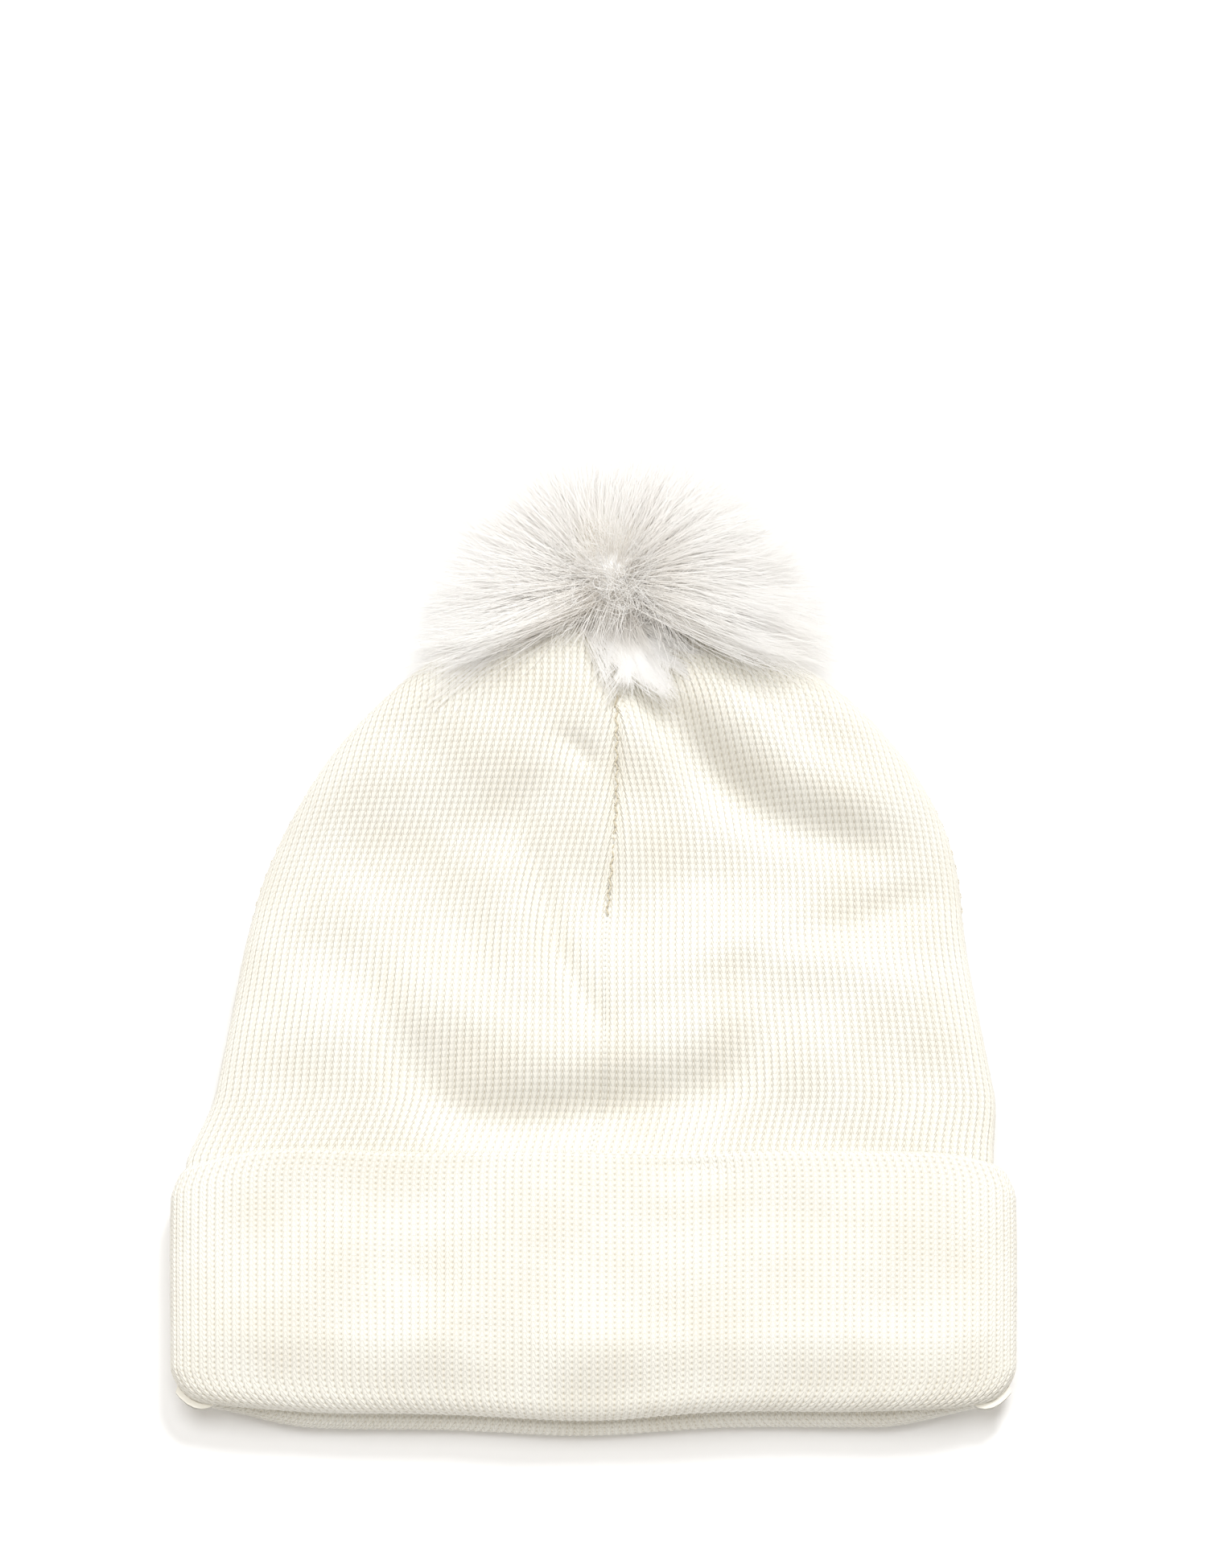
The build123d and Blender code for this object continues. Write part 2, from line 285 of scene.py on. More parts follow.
# ---- materials
def knitMaterial(name, light, shade, bumpScale):
    # acrylic yarn, plain knit: matt ivory columns of V-shaped stitches with soft fuzz, and painted shade darkening the
    # gaps between stitches
    material, tree = newMaterial(name)
    uv = addNode(tree, "ShaderNodeUVMap", {"uv_map": "stitches"})
    split = addNode(tree, "ShaderNodeSeparateXYZ", None, {0: uv.outputs[0]})
    across = addNode(tree, "ShaderNodeMath", {"operation": "FRACT"}, {0: split.outputs[0]})
    up = addNode(tree, "ShaderNodeMath", {"operation": "FRACT"}, {0: split.outputs[1]})
    # distance from the column's middle, 0 to 0.5, and the leg of the V at this height
    fromMiddle = addNode(tree, "ShaderNodeMath", {"operation": "SUBTRACT", 1: 0.5}, {0: across.outputs[0]})
    side = addNode(tree, "ShaderNodeMath", {"operation": "ABSOLUTE"}, {0: fromMiddle.outputs[0]})
    legAt = addNode(tree, "ShaderNodeMath", {"operation": "MULTIPLY_ADD", 1: 0.24, 2: 0.12}, {0: up.outputs[0]})
    legGap = addNode(tree, "ShaderNodeMath", {"operation": "SUBTRACT"}, {0: side.outputs[0], 1: legAt.outputs[0]})
    legDistance = addNode(tree, "ShaderNodeMath", {"operation": "ABSOLUTE"}, {0: legGap.outputs[0]})
    leg = addNode(tree, "ShaderNodeMapRange", {"interpolation_type": "SMOOTHSTEP", "From Min": 0.0, "From Max": 0.15,
                                               "To Min": 1.0, "To Max": 0.0}, {"Value": legDistance.outputs[0]})
    gap = addNode(tree, "ShaderNodeMapRange", {"interpolation_type": "SMOOTHSTEP", "From Min": 0.33, "From Max": 0.5},
                  {"Value": side.outputs[0]})
    beat = addNode(tree, "ShaderNodeMath", {"operation": "PINGPONG", 1: 0.5}, {0: up.outputs[0]})
    notch = addNode(tree, "ShaderNodeMapRange", {"interpolation_type": "SMOOTHSTEP", "From Min": 0.05, "From Max": 0.4,
                                                 "To Min": 1.0, "To Max": 0.15}, {"Value": beat.outputs[0]})
    hole = addNode(tree, "ShaderNodeMath", {"operation": "MULTIPLY"}, {0: gap.outputs[0], 1: notch.outputs[0]})
    place = addNode(tree, "ShaderNodeTexCoord")
    fuzz = addNode(tree, "ShaderNodeTexNoise", {"Scale": 2400.0, "Detail": 3.0, "Roughness": 0.7},
                   {"Vector": place.outputs["Object"]})
    cloudy = addNode(tree, "ShaderNodeTexNoise", {"Scale": 55.0, "Detail": 3.0}, {"Vector": place.outputs["Object"]})
    height = addNode(tree, "ShaderNodeMath", {"operation": "MULTIPLY_ADD", 1: 0.25},
                     {0: fuzz.outputs[0], 2: leg.outputs[0]})
    sunk = addNode(tree, "ShaderNodeMath", {"operation": "SUBTRACT"}, {0: height.outputs[0], 1: hole.outputs[0]})
    bump = addNode(tree, "ShaderNodeBump", {"Strength": 0.6, "Distance": bumpScale}, {"Height": sunk.outputs[0]})
    tint = addNode(tree, "ShaderNodeMapRange", {"From Min": 0.35, "From Max": 0.7, "To Min": 0.0, "To Max": 0.2},
                   {"Value": cloudy.outputs[0]})
    # painted shade: the colour goes towards the second colour in the gaps between stitches, where shade falls, plus a
    # cloudy tint for the yarn's uneven tone
    holeShadeAndTint = addNode(tree, "ShaderNodeMath", {"operation": "MULTIPLY_ADD", 1: 0.6, "use_clamp": True},
                     {0: hole.outputs[0], 2: tint.outputs[0]})
    colour = addNode(tree, "ShaderNodeMix", {"data_type": "RGBA", 6: linearColour(light), 7: linearColour(shade)},
                     {0: holeShadeAndTint.outputs[0]})
    shader = addNode(tree, "ShaderNodeBsdfPrincipled",
                     {"Roughness": 0.95, "Sheen Weight": 0.25, "Sheen Roughness": 0.5, "Specular IOR Level": 0.25},
                     {"Base Color": colour.outputs[2], "Normal": bump.outputs[0]})
    finishMaterial(tree, shader)
    return material


# the second colour is painted shade for the stitch gaps, also used for the yarn's uneven tint
ivoryKnit = knitMaterial("acrylic_plain_knit_ivory", "#f4f2ea", "#d6ccb6", 0.00035)


# ---- knit shapes
def bodyWidth(rise):
    low = np.clip((rise - cuffRise) / (shape["crownStart"] - cuffRise), 0, 1)
    wall = shape["crownHalfWidth"] + (shape["bodyHalfWidth"] - shape["crownHalfWidth"]) * (1 - low) ** 1.1
    u = np.clip((rise - shape["crownStart"]) / (hatRise - shape["crownStart"]), 0, 1)
    crown = shape["crownHalfWidth"] * (1 - 0.1 * u + 0.1 * u ** 6) * np.sqrt(np.maximum(1 - u * u, 0))
    return np.where(rise < shape["crownStart"], wall, crown)


def bodyDepth(rise):
    inCuff = shape["cuffHalfDepth"] - shape["plyStack"]
    swell = smooth((rise - cuffRise + 4) / 40)
    depth = inCuff + (shape["bodyHalfDepth"] - inCuff) * swell
    depth = depth + (tipRadius - shape["bodyHalfDepth"]) * smooth((rise - shape["crownStart"]) / 50)
    tipDepth = np.sqrt(np.maximum(tipRadius ** 2 - np.maximum(rise - pivotRise, 0) ** 2, 0))
    return np.minimum(depth, tipDepth)


def bodyMiddle(rise):
    onTable = shape["bodyHalfDepth"] + 0.3
    flat = shape["cuffHalfDepth"] + (onTable - shape["cuffHalfDepth"]) * smooth((rise - cuffRise) / 40)
    return flat + (pivot[2] - flat) * smooth((rise - shape["crownStart"]) / (pivotRise - shape["crownStart"]))


def centreLine(rise):
    # the hat leans a little to one side as it lies
    lean = -3.8 + 4.2 * smooth((rise - 66) / 22) + 3.0 * smooth((rise - 120) / 45)
    return lean - 3.0 * smooth((rise - 185) / 25)


folds = [   # each runs along points (x, height above the hem), with its own height (minus is a valley) and width
    {"path": [(-60, 112), (-52, 96), (-40, 82), (-20, 79), (6, 82), (30, 88), (46, 104)], "height": -4.6, "width": 7.5},
    {"path": [(-45, 112), (-22, 98), (6, 97), (30, 106)], "height": 2.6, "width": 9.0},
    {"path": [(-17.5, 146), (-15, 134), (-12.5, 124), (-7, 113), (-1, 103)], "height": -2.4, "width": 3.6},
    {"path": [(-27, 140), (-24, 122), (-16, 108)], "height": 1.4, "width": 6.0},
    {"path": [(2, 198), (12, 188), (20, 178), (31, 165), (46, 156), (68, 150)], "height": -7.5, "width": 6.8},
    {"path": [(22, 193), (36, 181), (52, 169), (74, 158)], "height": 4.6, "width": 8.0},
    {"path": [(44, 124), (62, 129), (80, 136), (95, 140)], "height": -2.6, "width": 5.5},
    {"path": [(4, 110), (20, 118), (38, 124), (54, 121), (74, 116), (94, 113)], "height": 2.0, "width": 7.0},
    {"path": [(-11, 177), (-4, 171)], "height": -2.2, "width": 3.6},
    {"path": [(-24, 150), (-19, 166)], "height": -1.3, "width": 4.0},
    {"path": [(18, 142), (30, 140)], "height": -1.2, "width": 6.0},
    {"path": [(-76, 126), (-66, 114)], "height": -1.3, "width": 8.0},
    {"path": [(-56, 180), (-42, 172)], "height": -1.3, "width": 7.0},
]
cuffFolds = [
    {"path": [(14, 66), (30, 65)], "height": -2.0, "width": 5.0},
    {"path": [(40, 54), (60, 50)], "height": -1.2, "width": 7.0},
    {"path": [(-58, 38), (-40, 35)], "height": -1.1, "width": 7.0},
    {"path": [(-34, 20), (-18, 16)], "height": -1.2, "width": 6.0},
    {"path": [(0, 30), (18, 27)], "height": -1.1, "width": 7.0},
    {"path": [(-80, 52), (-60, 56), (-40, 53)], "height": -1.0, "width": 8.0},
    {"path": [(66, 28), (84, 22)], "height": -0.9, "width": 8.0},
]


def smoothPath(path, steps=14):
    # a Catmull-Rom curve through the fold's points
    p = np.array([path[0]] + list(path) + [path[-1]], dtype=float)
    out = []
    for i in range(1, len(p) - 2):
        t = np.linspace(0, 1, steps, endpoint=False)[:, None]
        a, b, c, d = p[i - 1], p[i], p[i + 1], p[i + 2]
        bend, twist = 2 * a - 5 * b + 4 * c - d, 3 * b - a - 3 * c + d
        out.append(0.5 * (2 * b + (c - a) * t + bend * t ** 2 + twist * t ** 3))
    return np.concatenate(out + [p[-1:]])


def foldHeight(x, rise, listOfFolds):
    total = np.zeros_like(x)
    for fold in listOfFolds:
        line = smoothPath(fold["path"])
        share = np.linspace(0, 1, len(line))
        strength = np.sin(np.pi * (0.12 + 0.76 * share))
        best = np.zeros_like(x)
        for (px, py), s in zip(line, strength):
            near = np.exp(-((x - px) ** 2 + (rise - py) ** 2) / fold["width"] ** 2)
            best = np.maximum(best, near * s)
        total += fold["height"] * best
    return total


def sectionPoints(width, depth, count, squareness):
    # a quarter of a flat section from the middle of its top to its side, spaced evenly along the cloth
    angle = np.linspace(np.pi / 2, 0, 241)
    x = width * np.cos(angle) ** (2 / squareness)
    z = depth * np.sin(angle) ** (2 / squareness)
    run = np.concatenate([[0], np.cumsum(np.hypot(np.diff(x), np.diff(z)))])
    at = np.linspace(0, run[-1], count)
    return np.interp(at, run, x), np.interp(at, run, z), run[-1]


def riseRows(start, spacing, radius, multiple):
    # heights above the hem, evenly spaced along the cloth, going over the rounded crown tip
    straight = pivotRise - start
    total = straight + radius * math.radians(84)
    count = int(round(total / spacing / multiple)) * multiple + 1
    along = np.linspace(0, total, count)
    over = np.clip((along - straight) / radius, 0, None)
    return np.where(along < straight, start + along, pivotRise + radius * np.sin(over)), along


knit = {
    "walesPerGore": 52,       # columns of stitches over a quarter of the hat, about 2.2 mm each
    "coursePitch": 1.52,      # height of a row of stitches
    "rib": 0.21,              # how far a column stands out
    "hole": 0.36,             # depth of the gaps between stitches
    "uneven": 0.12,           # hand of the yarn, from stitch to stitch
    "thickness": 1.5,
    "narrowing": 15.0,        # cloth taken away by each dart on its way to the tip
}


def stitchRelief(wale, course):
    # ribs along the columns of stitches, and a hole between columns at each row of stitches
    across = wale - np.floor(wale)
    rib = 0.5 - 0.5 * np.cos(2 * np.pi * across)
    beat = 0.5 + 0.5 * np.cos(2 * np.pi * course)
    jitter = np.sin(np.floor(wale) * 12.99 + np.floor(course) * 78.2) * 43758.5
    jitter = (jitter - np.floor(jitter) - 0.5) * knit["uneven"]
    return knit["rib"] * (rib ** 0.7 - 1) - knit["hole"] * (1 - rib) ** 2 * beat + jitter * rib


bodyWaves = waves(11, 9, 26, 60)


def goreGrid(start, inset, columns, spacing, multiple, side, front):
    # one quarter of the hat's tube: side is -1 left or 1 right, front is 1 or -1 for the back
    rises, along = riseRows(start, spacing, tipRadius - inset, multiple)
    grid = np.zeros((len(rises), columns, 3))
    wale = np.zeros((len(rises), columns))
    share = np.linspace(0, 1, columns)
    for i, rise in enumerate(rises):
        width = max(float(bodyWidth(rise)) - inset, 1.5)
        depth = max(float(bodyDepth(rise)) - inset, 0.6)
        x, z, run = sectionPoints(width, depth, columns, shape["squareness"])
        grid[i, :, 0] = centreLine(rise) + side * x
        grid[i, :, 1] = hemY + rise
        grid[i, :, 2] = bodyMiddle(rise) + front * z
        gone = knit["narrowing"] * smooth((rise - shape["crownStart"] + 6) / 100)
        top = max(0.0, rise - shape["crownStart"])
        if rise < shape["crownStart"]:
            wideRun = run
        pitch = wideRun / knit["walesPerGore"] * (1 - 0.0018 * top)
        wale[i] = side * (share * run + gone * (1 - 0.6 * share)) / pitch + 0.5
    course = np.repeat((along / knit["coursePitch"])[:, None], columns, axis=1)
    return grid, wale, course, share


def shapeGore(layer, side, front, fine):
    inset = 0.0 if layer == "shell" else shape["liningInset"]
    start = cuffRise - 16 if layer == "shell" else 14.0
    perWale = 5 if front > 0 and fine else 3 if fine else 1
    rowsEach = 3 if fine else 1
    columns = knit["walesPerGore"] * perWale + 1
    spacing = knit["coursePitch"] / rowsEach
    grid, wale, course, share = goreGrid(start, inset, columns, spacing, rowsEach, side, front)
    x, rise = grid[..., 0], grid[..., 1] - hemY
    # soft folds fade at the side edges and under the cuff
    edge = smooth((1 - share) / 0.22)[None, :] * smooth((rise - cuffRise + 6) / 12)
    slow = 0.7 * waveHeight(x + (0 if front > 0 else 300), rise, bodyWaves)
    grid[..., 2] += ((foldHeight(x, rise, folds) if front > 0 else 0) + front * slow) * edge
    if front < 0:
        grid[..., 2] = np.maximum(grid[..., 2], 0.35 + inset)
    # the sewn dart pulls the cloth in along its line
    run = np.abs(x - centreLine(rise))
    sewn = smooth((rise - shape["seamTop"] + 4) / 10)
    dart = -1.5 * np.exp(-(run / 1.7) ** 2) + 0.55 * np.exp(-((run - 5.0) / 3.0) ** 2)
    sideRun = (1 - share)[None, :] * bodyWidth(rise)
    sideDart = -0.9 * np.exp(-(sideRun / 1.6) ** 2)
    relief = (0.85 if fine else 0.3) * stitchRelief(wale, course) + sewn * (dart + sideDart)
    return {"grid": grid, "relief": relief, "uv": np.stack([wale, course], -1), "ratios": (rowsEach, perWale)}


def addKnitBody():
    for layer, fine in (("shell", True), ("lining", False)):
        gores = {(side, front): shapeGore(layer, side, front, fine) for side in (-1, 1) for front in (1, -1)}
        for front in (1, -1):       # the same groove on both sides of each seam
            left, right = gores[-1, front]["relief"], gores[1, front]["relief"]
            left[:, 0] = right[:, 0] = (left[:, 0] + right[:, 0]) / 2
        for side in (-1, 1):
            top, bottom = gores[side, 1]["relief"], gores[side, -1]["relief"]
            top[:, -1] = bottom[:, -1] = (top[:, -1] + bottom[:, -1]) / 2
        for (side, front), gore in gores.items():
            before, after = gores[-side, front]["grid"][:, 1], gores[side, -front]["grid"][:, -2]
            name = f"{layer}_gore_{'front' if front > 0 else 'back'}_{'left' if side < 0 else 'right'}"
            flip = (side * front < 0) != (layer != "shell")
            piece = closedCloth(name, gore["grid"], gore["relief"], gore["uv"], knit["thickness"], gore["ratios"],
                                ivoryKnit, flip, before, after)
            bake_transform(piece)
        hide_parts(f"knit_{layer}")
        print("knit", layer)


addKnitBody()


# ---- cuff
cuff = {
    "topFold": 2.3,           # radius of the fold at the cuff's top
    "hemFold": 4.4,           # and of the fold at the hem
    "hiddenFrom": 56.0,       # the cloth starts this high behind the turn-up
    "liningTo": 18.0,         # and ends this high inside the hem
    "squareness": 3.4,
    "aside": 1.2,             # the cuff lies a little to the right of the body's hem
    "hemNarrowing": 1.8,
    "closing": 6.6,           # the front edge of the opening sinks towards the back one
}


def cuffPath(spacing, multiple):
    # along the cloth: up inside the turn-up, over its top fold, down the outside, round the hem, up inside
    top = cuffRise - cuff["topFold"]
    legs = [top - cuff["hiddenFrom"], np.pi * cuff["topFold"], top - cuff["hemFold"], np.pi * cuff["hemFold"],
            cuff["liningTo"] - cuff["hemFold"]]
    total = sum(legs)
    count = int(round(total / spacing / multiple)) * multiple + 1
    s = np.linspace(0, total, count)
    ends = np.cumsum(legs)
    rise = np.zeros(count)
    inset = np.zeros(count)
    a = s < ends[0]
    rise[a], inset[a] = cuff["hiddenFrom"] + s[a], 2 * cuff["topFold"]
    b = (s >= ends[0]) & (s < ends[1])
    turn = (s[b] - ends[0]) / cuff["topFold"]
    rise[b], inset[b] = top + cuff["topFold"] * np.sin(turn), cuff["topFold"] * (1 + np.cos(turn))
    c = (s >= ends[1]) & (s < ends[2])
    rise[c], inset[c] = top - (s[c] - ends[1]), 0
    d = (s >= ends[2]) & (s < ends[3])
    turn = (s[d] - ends[2]) / cuff["hemFold"]
    rise[d], inset[d] = cuff["hemFold"] * (1 - np.sin(turn)), cuff["hemFold"] * (1 - np.cos(turn))
    e = s >= ends[3]
    rise[e], inset[e] = cuff["hemFold"] + (s[e] - ends[3]), 2 * cuff["hemFold"]
    return s, rise, inset


cuffWaves = waves(23, 8, 24, 70)


def shapeCuff(front):
    perWale = 4 if front > 0 else 3
    columns = 2 * knit["walesPerGore"] * perWale + 1
    s, rises, insets = cuffPath(knit["coursePitch"] / 3, 3)
    half = (columns + 1) // 2
    grid = np.zeros((len(s), columns, 3))
    for i, (rise, inset) in enumerate(zip(rises, insets)):
        width = shape["cuffHalfWidth"] - 1.6 * smooth(rise / cuffRise) - inset
        width -= (3.0 * (1 - smooth(rise / 9)) + 2.4 * smooth((rise - cuffRise + 8) / 9)
                  + cuff["hemNarrowing"] * (1 - smooth(rise / 62)))
        depth = shape["cuffHalfDepth"] - inset
        x, z = sectionPoints(width, depth, half, cuff["squareness"])[:2]
        x = np.concatenate([-x[::-1], x[1:]])
        z = np.concatenate([z[::-1], z[1:]])
        # the hem bows out in the middle, its front edge lies back from the rear one, and the corners are rounded
        u = x / shape["cuffHalfWidth"]
        behind = (2.2 + 0.8 * u ** 2) * (1 - smooth((np.abs(u) - 0.66) / 0.22)) if front < 0 else 0.0
        hemAt = 2.2 + 3.8 * u ** 2 + 3.0 * np.abs(u) ** 14 - behind
        topAt = cuffRise + 1.5 * u ** 2 - 6.5 * np.abs(u) ** 10
        closing = cuff["closing"] * (1 - smooth(rise / 20)) if front > 0 else 0.0
        grid[i, :, 0] = centreLine(0.0) + cuff["aside"] + x
        grid[i, :, 1] = hemY + hemAt + rise / cuffRise * (topAt - hemAt)
        grid[i, :, 2] = shape["cuffHalfDepth"] + front * z - closing * (1 - np.abs(u) ** 6)
    x, rise = grid[..., 0], rises[:, None] + 0 * grid[..., 0]
    edge = smooth((1 - np.abs(np.linspace(-1, 1, columns))) / 0.12)[None, :]
    outside = smooth((cuff["hemFold"] * 2 - insets) / cuff["hemFold"])[:, None]
    slow = 0.5 * waveHeight(x + (0 if front > 0 else 300), rise + insets[:, None], cuffWaves)
    if front > 0:
        grid[..., 2] += (foldHeight(x, rise, cuffFolds) * outside + slow) * edge
    grid[..., 1] += 0.5 * waveHeight(x * 0.6, rise * 0.2, cuffWaves) * edge
    wale = (np.linspace(-1, 1, columns) * knit["walesPerGore"])[None, :] + 0.5 + 0 * x
    course = np.repeat((s / knit["coursePitch"])[:, None], columns, axis=1)
    relief = stitchRelief(wale, course)
    if front < 0:
        grid[..., 2] = np.maximum(grid[..., 2], 0.1 + knit["rib"])
    return {"grid": grid, "relief": relief, "uv": np.stack([wale, course], -1), "ratios": (3, perWale)}


def addCuff():
    halves = {front: shapeCuff(front) for front in (1, -1)}
    for front, half in halves.items():
        other = halves[-front]["grid"]
        piece = closedCloth("cuff_front" if front > 0 else "cuff_back", half["grid"], half["relief"], half["uv"],
                            knit["thickness"], half["ratios"], ivoryKnit, front > 0, other[:, 1], other[:, -2])
        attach(piece, "hat")
    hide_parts("cuff_outer_ply", "cuff_inner_ply")
    print("cuff")


addCuff()


# ---- fur pom
def furMaterial(name, light, shade):
    # long acrylic fur: clean white hairs that let some light through, with painted shade making them darker and warmer
    # down at the roots
    material, tree = newMaterial(name)
    uv = addNode(tree, "ShaderNodeUVMap", {"uv_map": "stitches"})
    split = addNode(tree, "ShaderNodeSeparateXYZ", None, {0: uv.outputs[0]})
    place = addNode(tree, "ShaderNodeTexCoord")
    patch = addNode(tree, "ShaderNodeTexNoise", {"Scale": 70.0, "Detail": 2.0}, {"Vector": place.outputs["Object"]})
    # painted shade: the colour goes towards the second colour near each hair's root, where shade falls deep in the
    # pile; random patches add to it
    root = addNode(tree, "ShaderNodeMapRange", {"From Min": 0.0, "From Max": 0.6, "To Min": 0.8, "To Max": 0.0},
                   {"Value": split.outputs[1]})
    mixed = addNode(tree, "ShaderNodeMath", {"operation": "MULTIPLY_ADD", 1: 0.35, "use_clamp": True},
                    {0: patch.outputs[0], 2: root.outputs[0]})
    colour = addNode(tree, "ShaderNodeMix", {"data_type": "RGBA", 6: linearColour(light), 7: linearColour(shade)},
                     {0: mixed.outputs[0]})
    shader = addNode(tree, "ShaderNodeBsdfPrincipled", {"Roughness": 0.6, "Specular IOR Level": 0.12},
                     {"Base Color": colour.outputs[2]})
    through = addNode(tree, "ShaderNodeBsdfTranslucent", None, {"Color": colour.outputs[2]})
    both = addNode(tree, "ShaderNodeMixShader", {0: 0.35}, {1: shader.outputs[0], 2: through.outputs[0]})
    finishMaterial(tree, both)
    return material


# the second colour is the painted shade at the hair roots
whiteFur = furMaterial("acrylic_fur_white", "#ffffff", "#fcfaf7")

fur = {
    "gather": np.array([5.0, 83.0, 27.0]),    # all hair springs from around this point
    "reach": 54.0,            # length of the long hair
    "locks": 520,
    "hairs": 46,              # in each lock
    "rings": 6,
    "visibleFrom": 0.12,      # share of a hair's length hidden at its root
    "rootWidth": 0.15,        # real hair is finer, this is as coarse as it needs to be to show
    "widest": 116.0,          # degrees from the hat's axis to the last locks
    "whorl": (-0.18, 0.05),
    "combed": 0.5,            # how flat the upper hair is brushed
    "core": 0.44,             # underfur's share of the reach
    "spread": 0.12,
    "strays": 0.06,           # share of hairs that stand out of their lock
    "outline": 130.0,         # beyond this the ends are brushed back
}


def crownSurface(points):
    # how far a point is inside the crown's flat section (below 1 is inside), and the section's half depth there
    rise = np.clip(points[:, 1] - hemY, 0, hatRise)
    squareness = 2.4
    width = np.maximum(bodyWidth(rise), 0.5) + 1.0
    depth = np.maximum(bodyDepth(rise), 0.5) + 1.2
    x = np.abs(points[:, 0] - centreLine(rise)) / width
    z = np.abs(points[:, 2] - bodyMiddle(rise)) / depth
    inside = np.where(points[:, 1] - hemY > hatRise, 9.0, (x ** squareness + z ** squareness))
    lift = depth * np.maximum(1 - np.minimum(x, 1) ** squareness, 0) ** (1 / squareness)
    return inside, lift, bodyMiddle(rise)


def furDirection(lean, turn):
    # lean is the angle from the hat's long axis, turn goes round it from straight up
    return np.stack([np.sin(lean) * np.sin(turn), np.cos(lean), np.sin(lean) * np.cos(turn)], -1)


def combOver(out, rng, tuftShare):
    # hair on the upper side lies down, away from a whorl near the top; one tuft falls across the crown
    perLock = out.shape[:1]
    qx = out[..., 0] - fur["whorl"][0] + rng.normal(0, 0.09, perLock)[:, None]
    qy = out[..., 1] - fur["whorl"][1] + rng.normal(0, 0.09, perLock)[:, None]
    way = np.arctan2(qx, qy)
    falls = (np.abs(way) > 2.1) & (rng.random(perLock) < tuftShare)[:, None] & (out[..., 2] > 0.2)
    limit = 1.86 + 0.12 * rng.normal(0, 1, perLock)[:, None]
    upper = out[..., 2] > 0
    way = np.where(upper & ~falls, np.clip(way, -limit, limit), way)
    way = np.where(falls, 2.62 + rng.normal(0, 0.42, perLock)[:, None], way)
    rise = np.arcsin(np.clip(out[..., 2], -1, 1))
    rise = np.where(upper, rise * (1 - fur["combed"]), rise)
    rise = np.where(falls, 0.35, rise)
    bent = np.stack([np.sin(way) * np.cos(rise), np.cos(way) * np.cos(rise), np.sin(rise)], -1)
    mixed = np.where(upper[..., None], bent, out)
    return mixed, falls, way


def hairPaths(rng, lockLean, lockTurn, lockReach, hairs, pinch, combed):
    # three control points for every hair: on the backing, part of the way, and the tip
    count = len(lockLean)
    backLow, backHigh = boxOf("fur_backing")
    backHalf = (backHigh - backLow) / 2
    lean = np.abs(lockLean[:, None] + rng.normal(0, fur["spread"], (count, hairs)))
    sideways = rng.normal(0, fur["spread"], (count, hairs)) / np.maximum(np.sin(lockLean), 0.35)[:, None]
    turn = lockTurn[:, None] + sideways
    root = fur["gather"] + [0, 5, 0] + furDirection(lean * 0.9, turn) * backHalf * 0.85
    pinched = [hair * (1 - pinch) + lock[:, None] * pinch for hair, lock in ((lean, lockLean), (turn, lockTurn))]
    out = furDirection(*pinched)
    tipWay, falls, way = combOver(out, rng, 0.75 if combed else 0.6)
    if not combed:
        tipWay = np.where(falls[..., None], tipWay, out)
    stray = rng.random((count, hairs)) < fur["strays"]
    reach = lockReach[:, None] * rng.uniform(0.76, 1.03, (count, hairs))
    reach = np.where(stray, reach * rng.uniform(1.0, 1.12, (count, hairs)), reach)
    reach = reach * (1 + 0.05 * smooth((np.abs(way) - 1.05) / 0.8) * (np.abs(out[..., 2]) < 0.8))
    reach = np.where(falls, reach * (0.54 if combed else 0.66), reach)
    tipWay = tipWay + np.where(stray, 1.0, 0.25)[..., None] * rng.normal(0, 0.12, (count, hairs, 3))
    tip = fur["gather"] + tipWay * reach[..., None]
    over = out + tipWay
    over /= np.maximum(np.linalg.norm(over, axis=2, keepdims=True), 0.2)
    middle = fur["gather"] + over * (reach * 0.8)[..., None]
    curl = rng.normal(0, 1, (count, 1, 3)) * 2.6 + rng.normal(0, 1, (count, hairs, 3)) * 0.8
    middle = middle + curl
    tip = tip + rng.normal(0, 1, (count, 1, 3)) * 2.0 - curl * 0.25
    return root.reshape(-1, 3), middle.reshape(-1, 3), tip.reshape(-1, 3)


def settleHair(points, over):
    # hair sags, spreads on the surface it lies on, and goes over or under the crown but never through it
    flat = points.reshape(-1, 3)
    away = flat - fur["gather"]
    flat[:, 2] -= 0.0016 * np.sum(away ** 2, 1)
    deep = np.maximum(1.2 - flat[:, 2], 0)
    level = np.hypot(away[:, 0], away[:, 1]) + 1e-6
    flat[:, 0] += away[:, 0] / level * deep * 0.25
    flat[:, 1] += away[:, 1] / level * deep * 0.25
    inside, lift, middle = crownSurface(flat)
    hit = inside < 1.0
    up = np.maximum(flat[:, 2], middle + lift)
    down = np.minimum(flat[:, 2], middle - lift)
    flat[:, 2] = np.where(hit, np.where(over, up, down), flat[:, 2])
    low = flat[:, 2] < 1.4
    flat[:, 2] = np.where(low, 0.25 + 1.15 * np.exp((flat[:, 2] - 1.4) / 8.0), flat[:, 2])
    far = flat[:, 1] > fur["outline"]           # the longest hairs are brushed back to the ball's outline
    brushed = fur["outline"] + 10.0 * (1 - np.exp(-(flat[:, 1] - fur["outline"]) / 10.0))
    flat[:, 1] = np.where(far, brushed, flat[:, 1])
    return flat.reshape(points.shape)


